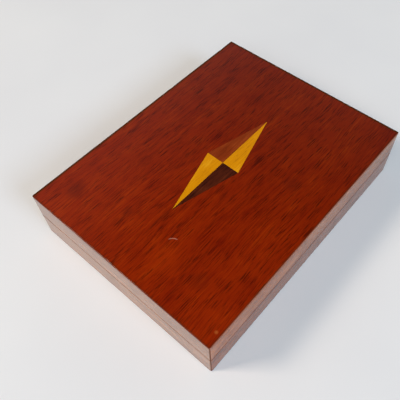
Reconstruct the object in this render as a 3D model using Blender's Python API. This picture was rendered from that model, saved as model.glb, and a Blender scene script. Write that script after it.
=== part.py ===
"""Wooden puzzle box: a mitred base, a lift-off lid and a hidden spin lock.

The lid drops over a liner lip that stands up out of the base. Two loose steel pins lie in the
lid's end walls. Tipping the box lets one of them slide into the brass strike in the lip beside it,
which holds the lid down. Spinning the box flat throws both outwards, and then the lid lifts off.

Frame: metres, +Z up, origin at the centre of the underside. +X runs along the grain of the top,
-Y is the front. The left end is at -X and the right end at +X.
"""

import math

import bmesh
import bpy
from mathutils import Matrix, Vector

MM = 0.001

# Box
LENGTH = 118.0 * MM
WIDTH = 90.0 * MM
BASE_HEIGHT = 12.25 * MM  # underside to the middle of the seam
LID_HEIGHT = 12.75 * MM  # middle of the seam to the top
WALL = 7.0 * MM
CORNER_RADIUS = 1.2 * MM  # upright corners
TOP_EASE = 0.7 * MM  # arris round the top and the underside
SEAM_EASE = 0.3 * MM  # arris on each side of the seam

# Boards and linings
VENEER = 0.8 * MM
PANEL = 3.0 * MM
RABBET = 3.0 * MM  # how far a panel is let into the walls
LIP_THICKNESS = 3.0 * MM
LIP_BEVEL = 0.7 * MM
LIP_HEADROOM = 0.8 * MM  # from the lip's top to the lid's ceiling
FELT = 1.0 * MM

# Marquetry lozenge
LOZENGE_LENGTH = 56.8 * MM
LOZENGE_WIDTH = 15.7 * MM

# Spin lock
PIN_SHANK = 2.4 * MM  # diameters
PIN_HEAD = 3.8 * MM
PIN_HEAD_LENGTH = 1.4 * MM
PIN_EDGE = 0.3 * MM
BUSH_WALL = 0.9 * MM
BUSH_LENGTH = 1.2 * MM
BORE_WEB = 1.4 * MM  # wood left between a bore's bottom and the outside
STRIKE_HOLE = 3.6 * MM
STRIKE_WIDTH = 10.0 * MM
STRIKE_DEPTH = 4.6 * MM  # below the pins' line
STRIKE_EDGE = 0.4 * MM

# Clearances
JOINT = 0.3 * MM  # glue line, seam and fit between pieces
CUT_OVER = 2.0 * MM  # how far a cutter stands past what it cuts

CORNER_STEPS = 6
EASE_STEPS = 3
ROUND_STEPS = 40

# Levels
HEIGHT = BASE_HEIGHT + LID_HEIGHT
BASE_FOOT = VENEER + JOINT
BASE_RIM = BASE_HEIGHT - JOINT / 2
LID_RIM = BASE_HEIGHT + JOINT / 2
LID_CROWN = HEIGHT - VENEER - JOINT
FLOOR = BASE_FOOT + PANEL + JOINT
CEILING = LID_CROWN - PANEL
LIP_TOP = CEILING - LIP_HEADROOM
PIN_LINE = (LID_RIM + CEILING) / 2

# Distances from the middle
HALF_LENGTH = LENGTH / 2
HALF_WIDTH = WIDTH / 2
END_FACE = HALF_LENGTH - WALL  # inner face of an end wall
LIP_HALF_LENGTH = END_FACE - JOINT
LIP_HALF_WIDTH = HALF_WIDTH - WALL - JOINT
PANEL_HALF_LENGTH = END_FACE + RABBET - JOINT
PANEL_HALF_WIDTH = HALF_WIDTH - WALL + RABBET - JOINT
BORE_BOTTOM = HALF_LENGTH - BORE_WEB
PIN_REST = BORE_BOTTOM - JOINT  # outer end of a pin's head, with the lock free
PIN_LENGTH = PIN_REST - END_FACE - JOINT

WALL_DIRECTIONS = {"front": -90.0, "right": 0.0, "back": 90.0, "left": 180.0}
END_SIDES = {"left": -1, "right": 1}

# Colours (linear), roughness and metalness
FINISHES = {
    "polished_mahogany": ((0.165, 0.022, 0.004), 0.16, 0.0),
    "mahogany_veneer": ((0.190, 0.019, 0.003), 0.12, 0.0),
    "birch_plywood": ((0.560, 0.380, 0.210), 0.55, 0.0),
    "cedar_liner": ((0.330, 0.140, 0.060), 0.50, 0.0),
    "satinwood": ((0.600, 0.270, 0.015), 0.14, 0.0),
    "wenge": ((0.060, 0.012, 0.005), 0.16, 0.0),
    "brown_oak": ((0.230, 0.052, 0.009), 0.15, 0.0),
    "green_felt": ((0.012, 0.060, 0.028), 0.95, 0.0),
    "turned_brass": ((0.660, 0.430, 0.150), 0.25, 1.0),
    "bright_steel": ((0.560, 0.570, 0.580), 0.22, 1.0),
}


def clear_scene():
    """Remove whatever the scene holds."""
    for obj in list(bpy.data.objects):
        bpy.data.objects.remove(obj, do_unlink=True)


def finish_material(finish):
    """The Principled material of one finish, made once."""
    material = bpy.data.materials.get(finish)
    if material is None:
        colour, roughness, metallic = FINISHES[finish]
        material = bpy.data.materials.new(finish)
        material.use_nodes = True
        shader = material.node_tree.nodes["Principled BSDF"]
        shader.inputs["Base Color"].default_value = (*colour, 1.0)
        shader.inputs["Roughness"].default_value = roughness
        shader.inputs["Metallic"].default_value = metallic
        material.diffuse_color = (*colour, 1.0)
    return material


def add_object(name, mesh_data, parent=None, location=(0.0, 0.0, 0.0)):
    """Turn a bmesh into a linked object with outward normals."""
    bmesh.ops.recalc_face_normals(mesh_data, faces=mesh_data.faces)
    mesh = bpy.data.meshes.new(name)
    mesh_data.to_mesh(mesh)
    mesh_data.free()
    obj = bpy.data.objects.new(name, mesh)
    bpy.context.scene.collection.objects.link(obj)
    obj.location = location
    obj.parent = parent
    return obj


def add_piece(name, mesh_data, finish, parent=None, location=(0.0, 0.0, 0.0)):
    """Add one sub-part with its finish, shaded smooth except at its sharp edges."""
    obj = add_object(name, mesh_data, parent, location)
    obj.data.materials.append(finish_material(finish))
    obj.data.shade_smooth()
    obj.data.set_sharp_from_angle(angle=math.radians(30))
    return obj


def add_cutter(name, mesh_data):
    """Add a guide body that only cuts other pieces."""
    cutter = add_object(name, mesh_data)
    cutter.hide_render = True
    cutter.display_type = "WIRE"
    return cutter


def cut(obj, cutter, operation="DIFFERENCE"):
    """Give a piece a live Boolean with a cutter."""
    boolean = obj.modifiers.new(cutter.name, "BOOLEAN")
    boolean.operation = operation
    boolean.solver = "EXACT"
    boolean.object = cutter


def skin_loops(mesh_data, loops, closed=False):
    """Bridge rings of points one after another, and cap the ends unless the last meets the first."""
    rings = [[mesh_data.verts.new(point) for point in loop] for loop in loops]
    pairs = list(zip(rings, rings[1:]))
    if closed:
        pairs.append((rings[-1], rings[0]))
    for lower, upper in pairs:
        count = len(lower)
        for i in range(count):
            j = (i + 1) % count
            mesh_data.faces.new((lower[i], lower[j], upper[j], upper[i]))
    if not closed:
        mesh_data.faces.new(rings[0])
        mesh_data.faces.new(rings[-1])


def rounded_loop(half_length, half_width, radius, z):
    """Points round a level rectangle with rounded corners."""
    points = []
    for sign_x, sign_y, start in ((1, 1, 0), (-1, 1, 90), (-1, -1, 180), (1, -1, 270)):
        centre_x = sign_x * (half_length - radius)
        centre_y = sign_y * (half_width - radius)
        for step in range(CORNER_STEPS + 1):
            angle = math.radians(start + 90 * step / CORNER_STEPS)
            points.append((centre_x + radius * math.cos(angle), centre_y + radius * math.sin(angle), z))
    return points


def ease_levels(ease, base, direction):
    """Inset and level of each ring of a rounded arris, from the upright face to the flat one."""
    levels = []
    for step in range(EASE_STEPS + 1):
        turn = math.radians(90 * step / EASE_STEPS)
        levels.append((ease * (1 - math.cos(turn)), base + direction * ease * math.sin(turn)))
    return levels


def slab(half_length, half_width, radius, bottom, top, ease_top=0.0, ease_bottom=0.0):
    """A board with rounded upright corners and, where asked, eased arrises."""
    levels = [(0.0, bottom)]
    if ease_bottom:
        levels = ease_levels(ease_bottom, bottom + ease_bottom, -1)[::-1]
    if ease_top:
        levels += ease_levels(ease_top, top - ease_top, 1)
    else:
        levels.append((0.0, top))
    mesh_data = bmesh.new()
    skin_loops(
        mesh_data,
        [rounded_loop(half_length - inset, half_width - inset, radius - inset, z) for inset, z in levels],
    )
    return mesh_data


def block(low, high):
    """A square-edged block between two corners."""
    mesh_data = bmesh.new()
    bmesh.ops.create_cube(mesh_data, size=1.0)
    size = Vector(high) - Vector(low)
    middle = (Vector(high) + Vector(low)) / 2
    bmesh.ops.transform(
        mesh_data,
        matrix=Matrix.Translation(middle) @ Matrix.Diagonal((*size, 1.0)),
        verts=mesh_data.verts,
    )
    return mesh_data


def turned(profile, ring=False):
    """A shape turned about X from (x, radius) points.

    It is solid unless ring is set, which joins the last point to the first.
    """
    angles = [2 * math.pi * step / ROUND_STEPS for step in range(ROUND_STEPS)]
    unit_circle = [(math.cos(angle), math.sin(angle)) for angle in angles]
    mesh_data = bmesh.new()
    loops = [[(x, radius * y, radius * z) for y, z in unit_circle] for x, radius in profile]
    skin_loops(mesh_data, loops, closed=ring)
    return mesh_data


def raise_to_pin_line(mesh_data):
    """Lift a turned shape from the X axis to the line that the pins slide on."""
    bmesh.ops.translate(mesh_data, vec=(0.0, 0.0, PIN_LINE), verts=mesh_data.verts)
    return mesh_data


def prism(outline, bottom, top):
    """A level outline raised between two heights."""
    mesh_data = bmesh.new()
    skin_loops(mesh_data, [[(x, y, bottom) for x, y in outline], [(x, y, top) for x, y in outline]])
    return mesh_data


def mitred_strip(direction, outer, half, section):
    """A strip with mitred ends, from its section's (depth from the outer face, z) points.

    direction is the way the outer face looks, in degrees about Z. outer is how far that face is
    from the middle and half is half its length. The ends keep half a joint back from the mitre.
    """
    angle = math.radians(direction)
    outward = Vector((math.cos(angle), math.sin(angle), 0.0))
    along = Vector((-math.sin(angle), math.cos(angle), 0.0))
    setback = JOINT / 2 * math.sqrt(2)
    loops = []
    for end in (-1, 1):
        loop = []
        for depth, z in section:
            reach = end * (half - depth - setback)
            loop.append(outward * (outer - depth) + along * reach + Vector((0.0, 0.0, z)))
        loops.append(loop)
    mesh_data = bmesh.new()
    skin_loops(mesh_data, loops)
    return mesh_data


def outer_and_half(direction, half_length, half_width):
    """How far a wall's outer face is from the middle, and half that wall's length."""
    if direction in (0.0, 180.0):
        return half_length, half_width
    return half_width, half_length


def base_wall_section():
    """A base wall: rabbeted inside at the foot for the panel, eased outside at the seam."""
    return [
        (0.0, BASE_FOOT),
        (WALL - RABBET, BASE_FOOT),
        (WALL - RABBET, FLOOR),
        (WALL, FLOOR),
        (WALL, BASE_RIM),
        (SEAM_EASE, BASE_RIM),
        (0.0, BASE_RIM - SEAM_EASE),
    ]


def lid_wall_section():
    """A lid wall: rabbeted inside at the crown for the panel, eased outside at the seam."""
    return [
        (0.0, LID_CROWN),
        (WALL - RABBET, LID_CROWN),
        (WALL - RABBET, CEILING - JOINT),
        (WALL, CEILING - JOINT),
        (WALL, LID_RIM),
        (SEAM_EASE, LID_RIM),
        (0.0, LID_RIM + SEAM_EASE),
    ]


def lip_section():
    """A liner strip, bevelled on its outer top arris so that the lid finds its way on."""
    return [
        (0.0, FLOOR),
        (LIP_THICKNESS, FLOOR),
        (LIP_THICKNESS, LIP_TOP),
        (LIP_BEVEL, LIP_TOP),
        (0.0, LIP_TOP - LIP_BEVEL),
    ]


def corner_guide():
    """A prism of the box's plan, which rounds the upright corners of the walls."""
    guide = slab(HALF_LENGTH, HALF_WIDTH, CORNER_RADIUS, -CUT_OVER, HEIGHT + CUT_OVER)
    return add_cutter("corner_guide", guide)


def build_walls(prefix, section, finish, rounding, parent):
    """Four mitred walls with rounded upright corners, by name."""
    walls = {}
    for side, direction in WALL_DIRECTIONS.items():
        outer, half = outer_and_half(direction, HALF_LENGTH, HALF_WIDTH)
        mesh_data = mitred_strip(direction, outer, half, section)
        walls[side] = add_piece(f"{prefix}_side_{side}", mesh_data, finish, parent)
        cut(walls[side], rounding, "INTERSECT")
    return walls


def build_base_boards(parent):
    """The veneered underside and the panel let into the base walls."""
    veneer = slab(HALF_LENGTH, HALF_WIDTH, CORNER_RADIUS, 0.0, VENEER, ease_bottom=TOP_EASE)
    add_piece("base_veneer", veneer, "mahogany_veneer", parent)
    panel = block(
        (-PANEL_HALF_LENGTH, -PANEL_HALF_WIDTH, BASE_FOOT),
        (PANEL_HALF_LENGTH, PANEL_HALF_WIDTH, BASE_FOOT + PANEL),
    )
    add_piece("base_panel", panel, "birch_plywood", parent)


def build_lip(parent):
    """Four mitred liner strips, the end ones notched from the top for their strikes."""
    for side, direction in WALL_DIRECTIONS.items():
        outer, half = outer_and_half(direction, LIP_HALF_LENGTH, LIP_HALF_WIDTH)
        mesh_data = mitred_strip(direction, outer, half, lip_section())
        strip = add_piece(f"lip_{side}", mesh_data, "cedar_liner", parent)
        if side in END_SIDES:
            cut(strip, strike_notch(side))


def strike_notch(side):
    """The cutter of the notch that a strike sits in."""
    centre = END_SIDES[side] * (LIP_HALF_LENGTH - LIP_THICKNESS / 2)
    reach = LIP_THICKNESS / 2 + CUT_OVER
    half = STRIKE_WIDTH / 2 + JOINT
    foot = PIN_LINE - STRIKE_DEPTH - JOINT
    notch = block((centre - reach, -half, foot), (centre + reach, half, LIP_TOP + CUT_OVER))
    return add_cutter(f"strike_notch_{side}", notch)


def build_felt(parent):
    """The felt that lines the floor inside the lip."""
    half_length = LIP_HALF_LENGTH - LIP_THICKNESS - JOINT
    half_width = LIP_HALF_WIDTH - LIP_THICKNESS - JOINT
    felt = block((-half_length, -half_width, FLOOR), (half_length, half_width, FLOOR + FELT))
    add_piece("felt_lining", felt, "green_felt", parent)


def build_strike(side, parent):
    """A brass block that fills the notch in the lip, with the hole that its pin drops into."""
    centre = END_SIDES[side] * (LIP_HALF_LENGTH - LIP_THICKNESS / 2)
    half_depth = LIP_THICKNESS / 2
    half_width = STRIKE_WIDTH / 2
    outline = [
        (-half_width, PIN_LINE - STRIKE_DEPTH),
        (half_width, PIN_LINE - STRIKE_DEPTH),
        (half_width, LIP_TOP - STRIKE_EDGE),
        (half_width - STRIKE_EDGE, LIP_TOP),
        (-half_width + STRIKE_EDGE, LIP_TOP),
        (-half_width, LIP_TOP - STRIKE_EDGE),
    ]
    mesh_data = bmesh.new()
    faces = (centre - half_depth, centre + half_depth)
    skin_loops(mesh_data, [[(x, y, z) for y, z in outline] for x in faces])
    strike = add_piece(f"strike_{side}", mesh_data, "turned_brass", parent)
    start = centre - half_depth - CUT_OVER
    end = centre + half_depth + CUT_OVER
    bore = raise_to_pin_line(turned([(start, STRIKE_HOLE / 2), (end, STRIKE_HOLE / 2)]))
    cut(strike, add_cutter(f"strike_bore_{side}", bore))


def pin_bore(side):
    """The cutter of a pin's blind bore and of the wider seat for its bush, open to the inside."""
    sign = END_SIDES[side]
    bore_radius = PIN_HEAD / 2 + JOINT
    seat_radius = PIN_SHANK / 2 + JOINT + BUSH_WALL + JOINT
    seat_end = END_FACE + BUSH_LENGTH + JOINT
    profile = [
        (END_FACE - CUT_OVER, seat_radius),
        (seat_end, seat_radius),
        (seat_end, bore_radius),
        (BORE_BOTTOM, bore_radius),
    ]
    bore = raise_to_pin_line(turned([(sign * x, radius) for x, radius in profile]))
    return add_cutter(f"pin_bore_{side}", bore)


def build_bush(side, parent):
    """The brass ring that keeps a pin in its bore and guides the shank."""
    sign = END_SIDES[side]
    inner = PIN_SHANK / 2 + JOINT
    outer = inner + BUSH_WALL
    profile = [
        (END_FACE, inner),
        (END_FACE, outer),
        (END_FACE + BUSH_LENGTH, outer),
        (END_FACE + BUSH_LENGTH, inner),
    ]
    ring = raise_to_pin_line(turned([(sign * x, radius) for x, radius in profile], ring=True))
    add_piece(f"pin_bush_{side}", ring, "turned_brass", parent)


def build_pin(side):
    """A loose headed pin, drawn about its own line with its origin at the inner tip."""
    sign = END_SIDES[side]
    head_start = PIN_LENGTH - PIN_HEAD_LENGTH
    profile = [
        (0.0, PIN_SHANK / 2 - PIN_EDGE),
        (PIN_EDGE, PIN_SHANK / 2),
        (head_start, PIN_SHANK / 2),
        (head_start, PIN_HEAD / 2 - PIN_EDGE),
        (head_start + PIN_EDGE, PIN_HEAD / 2),
        (PIN_LENGTH - PIN_EDGE, PIN_HEAD / 2),
        (PIN_LENGTH, PIN_HEAD / 2 - PIN_EDGE),
    ]
    mesh_data = turned([(sign * x, radius) for x, radius in profile])
    tip = (sign * (PIN_REST - PIN_LENGTH), 0.0, PIN_LINE)
    add_piece(f"lock_pin_{side}", mesh_data, "bright_steel", location=tip)


def build_lid_boards(parent):
    """The panel let into the lid walls and the face veneer with its lozenge window."""
    panel = block(
        (-PANEL_HALF_LENGTH, -PANEL_HALF_WIDTH, CEILING),
        (PANEL_HALF_LENGTH, PANEL_HALF_WIDTH, LID_CROWN),
    )
    add_piece("lid_panel", panel, "birch_plywood", parent)
    face = slab(HALF_LENGTH, HALF_WIDTH, CORNER_RADIUS, HEIGHT - VENEER, HEIGHT, ease_top=TOP_EASE)
    veneer = add_piece("lid_veneer", face, "mahogany_veneer", parent)
    tips = [
        (LOZENGE_LENGTH / 2, 0.0),
        (0.0, LOZENGE_WIDTH / 2),
        (-LOZENGE_LENGTH / 2, 0.0),
        (0.0, -LOZENGE_WIDTH / 2),
    ]
    window = prism(tips, HEIGHT - VENEER - CUT_OVER, HEIGHT + CUT_OVER)
    cut(veneer, add_cutter("lozenge_window", window))


def build_inlay(name, finish, sign_x, sign_y, parent):
    """One right-angled quarter of the lozenge, a joint clear of its neighbours."""
    reach_x = LOZENGE_LENGTH / 2
    reach_y = LOZENGE_WIDTH / 2
    near = JOINT / 2
    share = 1 - JOINT * math.hypot(1 / reach_x, 1 / reach_y)
    outline = [
        (sign_x * near, sign_y * near),
        (sign_x * reach_x * (share - near / reach_y), sign_y * near),
        (sign_x * near, sign_y * reach_y * (share - near / reach_x)),
    ]
    add_piece(name, prism(outline, HEIGHT - VENEER, HEIGHT), finish, parent)


def build_base():
    """Everything that stays on the table."""
    base = bpy.data.objects.new("base", None)
    bpy.context.scene.collection.objects.link(base)
    build_base_boards(base)
    build_walls("base", base_wall_section(), "polished_mahogany", bpy.data.objects["corner_guide"], base)
    build_lip(base)
    build_felt(base)
    for side in END_SIDES:
        build_strike(side, base)


def build_lid():
    """Everything that lifts off, apart from the loose pins."""
    lid = bpy.data.objects.new("lid", None)
    bpy.context.scene.collection.objects.link(lid)
    walls = build_walls("lid", lid_wall_section(), "polished_mahogany", bpy.data.objects["corner_guide"], lid)
    build_lid_boards(lid)
    build_inlay("inlay_back_left", "satinwood", -1, 1, lid)
    build_inlay("inlay_front_left", "wenge", -1, -1, lid)
    build_inlay("inlay_back_right", "brown_oak", 1, 1, lid)
    build_inlay("inlay_front_right", "satinwood", 1, -1, lid)
    for side in END_SIDES:
        cut(walls[side], pin_bore(side))
        build_bush(side, lid)


def main():
    """Build the box closed, with both pins thrown outwards."""
    clear_scene()
    corner_guide()
    build_base()
    build_lid()
    for side in END_SIDES:
        build_pin(side)


main()
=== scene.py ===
"""Looks of the wooden puzzle box: polished mahogany, a marquetry lozenge, a lined base and a spin lock.

Metres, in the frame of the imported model: the origin is the centre of the underside, +Z is up, +X runs
along the grain of the top and -Y is the front. Patterns are sized in millimetres.
"""

import logging
import math
from dataclasses import dataclass, replace
from enum import Enum

import bmesh
import bpy
from mathutils import Matrix, Vector, noise


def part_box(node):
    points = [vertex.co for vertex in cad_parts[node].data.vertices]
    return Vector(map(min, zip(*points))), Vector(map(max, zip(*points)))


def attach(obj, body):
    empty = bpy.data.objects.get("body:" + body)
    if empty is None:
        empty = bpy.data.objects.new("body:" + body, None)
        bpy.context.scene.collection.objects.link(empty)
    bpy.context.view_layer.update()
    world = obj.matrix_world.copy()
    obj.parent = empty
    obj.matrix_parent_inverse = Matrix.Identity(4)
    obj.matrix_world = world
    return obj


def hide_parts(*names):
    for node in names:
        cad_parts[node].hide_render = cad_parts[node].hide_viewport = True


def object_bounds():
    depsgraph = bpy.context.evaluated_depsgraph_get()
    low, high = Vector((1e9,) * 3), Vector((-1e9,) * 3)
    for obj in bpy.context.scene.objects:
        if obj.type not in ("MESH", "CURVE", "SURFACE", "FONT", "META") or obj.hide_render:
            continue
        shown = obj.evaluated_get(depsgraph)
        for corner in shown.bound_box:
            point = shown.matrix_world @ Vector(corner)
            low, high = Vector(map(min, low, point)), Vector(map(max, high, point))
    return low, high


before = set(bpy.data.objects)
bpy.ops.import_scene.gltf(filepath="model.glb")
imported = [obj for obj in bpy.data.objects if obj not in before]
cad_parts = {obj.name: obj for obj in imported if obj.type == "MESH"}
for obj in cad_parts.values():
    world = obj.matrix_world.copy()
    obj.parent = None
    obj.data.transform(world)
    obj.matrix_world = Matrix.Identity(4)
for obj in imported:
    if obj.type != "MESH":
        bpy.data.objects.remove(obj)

MM = 0.001
CAD_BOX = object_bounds()
LOG = logging.getLogger("puzzle_box")

Tree = bpy.types.NodeTree
Socket = bpy.types.NodeSocket
Colour = tuple[float, float, float, float]
Pair = tuple[float, float]
Section = list[Pair]

GLUE_LINE = 0.03 * MM  # between two glued pieces, as the eye sees it
CORNER_RADIUS = 0.6 * MM
FACE_EASE = 0.25 * MM  # of the arris round the face and the underside
MIDDLE = 0.5  # of what a noise layer gives
LACQUER_IOR = 1.5

# The patterns' landmarks, in millimetres from the middle of the underside.
HALF_LENGTH_MM = CAD_BOX[1][0] / MM
HALF_WIDTH_MM = CAD_BOX[1][1] / MM
SEAM_MM = (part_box("base_side_front")[1][2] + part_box("lid_side_front")[0][2]) / 2 / MM


class Grain(Enum):
    """Which way a piece's grain runs: the turn about Z that lays it along the pattern's own X."""

    ALONG_X = 0.0
    ALONG_Y = -math.pi / 2


class Side(Enum):
    """The four sides of the box, by the direction that each one's outer face looks in."""

    FRONT = -90.0
    RIGHT = 0.0
    BACK = 90.0
    LEFT = 180.0

    @property
    def label(self) -> str:
        """The side's name in a node's name."""
        return self.name.lower()

    @property
    def outward(self) -> Vector:
        """The direction that the outer face looks in."""
        angle = math.radians(self.value)
        return Vector((round(math.cos(angle)), round(math.sin(angle)), 0.0))

    @property
    def along(self) -> Vector:
        """The direction that the board runs in."""
        return Vector((-self.outward.y, self.outward.x, 0.0))

    @property
    def grain(self) -> Grain:
        """The grain of a board on this side, which runs along the board."""
        return Grain.ALONG_X if self in (Side.FRONT, Side.BACK) else Grain.ALONG_Y


# ---------------------------------------------------------------------------------------------
# Node trees and colours


def linear(code: str) -> Colour:
    """Turn an sRGB hex value into the linear colour that the shaders work in.

    Args:
        code: The colour as "#rrggbb".

    Returns:
        Linear red, green, blue and an alpha of 1.
    """
    channels = []
    for start in (1, 3, 5):
        value = int(code[start : start + 2], 16) / 255
        channels.append(value / 12.92 if value <= 0.04045 else ((value + 0.055) / 1.055) ** 2.4)
    return (*channels, 1.0)


def add_node(
    tree: Tree,
    kind: str,
    inputs: dict[str | int, object] | None = None,
    **settings: object,
) -> bpy.types.Node:
    """Add a node with its settings, its values and its links.

    Args:
        tree: The tree that the node goes in.
        kind: The node's type.
        inputs: A value or another node's output for each input, by the input's name or number.
        **settings: The node's own properties.

    Returns:
        The new node.
    """
    node = tree.nodes.new(kind)
    for name, value in settings.items():
        setattr(node, name, value)
    for key, value in (inputs or {}).items():
        if isinstance(value, Socket):
            tree.links.new(value, node.inputs[key])
        else:
            node.inputs[key].default_value = value
    return node


def new_material(name: str) -> tuple[bpy.types.Material, Tree]:
    """Start a material with an empty tree.

    Args:
        name: The material's name.

    Returns:
        The material and its tree.
    """
    material = bpy.data.materials.new(name)
    material.use_nodes = True
    material.node_tree.nodes.clear()
    return material, material.node_tree


def close_surface(tree: Tree, look: dict[str, object]) -> None:
    """End a material's tree with its shader and its output.

    Args:
        tree: The material's tree.
        look: A value or another node's output for each of the shader's inputs.
    """
    shader = add_node(tree, "ShaderNodeBsdfPrincipled", look)
    add_node(tree, "ShaderNodeOutputMaterial", {"Surface": shader.outputs["BSDF"]})


def reach_mm(tree: Tree) -> dict[str, Socket]:
    """Where a point is along each axis of the box.

    Args:
        tree: The material's tree.

    Returns:
        The distance from the origin in millimetres, by the axis's letter.
    """
    coords = add_node(tree, "ShaderNodeTexCoord").outputs["Object"]
    axes = add_node(tree, "ShaderNodeSeparateXYZ", {"Vector": coords}).outputs
    return {axis: combine(tree, "MULTIPLY", axes[axis], 1 / MM) for axis in "XYZ"}


def grain_layer(
    tree: Tree,
    place: Socket,
    length_mm: float,
    width_mm: float,
    detail: float = 2.0,
    shift: float = 0.0,
) -> Socket:
    """One layer of a wood's figure: noise drawn out along the grain.

    Args:
        tree: The material's tree.
        place: Where a point is, in millimetres, with the grain along X.
        length_mm: How long the layer's marks are along the grain.
        width_mm: How wide they are across it.
        detail: The noise's octaves.
        shift: Moves the layer, so that two layers of one size differ.

    Returns:
        The layer's value, from 0 to 1, about 0.5 on average.
    """
    stretched = add_node(
        tree,
        "ShaderNodeMapping",
        {
            "Vector": place,
            "Location": (shift, shift * 1.7, shift * 0.6),  # unequal, so that no two layers line up
            "Scale": (1 / length_mm, 1 / width_mm, 1 / width_mm),
        },
    )
    marks = add_node(
        tree,
        "ShaderNodeTexNoise",
        {"Vector": stretched.outputs["Vector"], "Scale": 1.0, "Detail": detail, "Roughness": 0.55},
    )
    return marks.outputs["Fac"]


def remap(tree: Tree, value: Socket, source: Pair, target: Pair = (0.0, 1.0)) -> Socket:
    """Stretch one range of a value onto another, held at its ends.

    Args:
        tree: The material's tree.
        value: The value.
        source: The range to read.
        target: The range to give.

    Returns:
        The stretched value.
    """
    node = add_node(
        tree,
        "ShaderNodeMapRange",
        {
            "Value": value,
            "From Min": source[0],
            "From Max": source[1],
            "To Min": target[0],
            "To Max": target[1],
        },
        interpolation_type="SMOOTHSTEP",
    )
    return node.outputs["Result"]


def combine(tree: Tree, operation: str, first: object, second: object) -> Socket:
    """Work out one value from two.

    Args:
        tree: The material's tree.
        operation: The Math node's operation.
        first: A value or another node's output.
        second: A value or another node's output.

    Returns:
        The result.
    """
    return add_node(tree, "ShaderNodeMath", {0: first, 1: second}, operation=operation).outputs["Value"]


def swing(tree: Tree, layer: Socket, weight: float) -> Socket:
    """How far a noise layer is from its middle.

    Args:
        tree: The material's tree.
        layer: The layer's value.
        weight: How much the whole of the layer's range counts for.

    Returns:
        The swing, to either side of 0.
    """
    return combine(tree, "MULTIPLY", combine(tree, "SUBTRACT", layer, MIDDLE), weight)


def tint(tree: Tree, share: object, under: object, over: object, blend: str = "MIX") -> Socket:
    """Lay one colour over another.

    Args:
        tree: The material's tree.
        share: How much of the upper colour shows, from 0 to 1.
        under: The lower colour.
        over: The upper colour.
        blend: The Mix node's blend type.

    Returns:
        The mixed colour.
    """
    mixed = add_node(
        tree,
        "ShaderNodeMix",
        {0: share, 6: under, 7: over},
        data_type="RGBA",
        blend_type=blend,
    )
    return mixed.outputs[2]


# ---------------------------------------------------------------------------------------------
# Finishes


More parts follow.
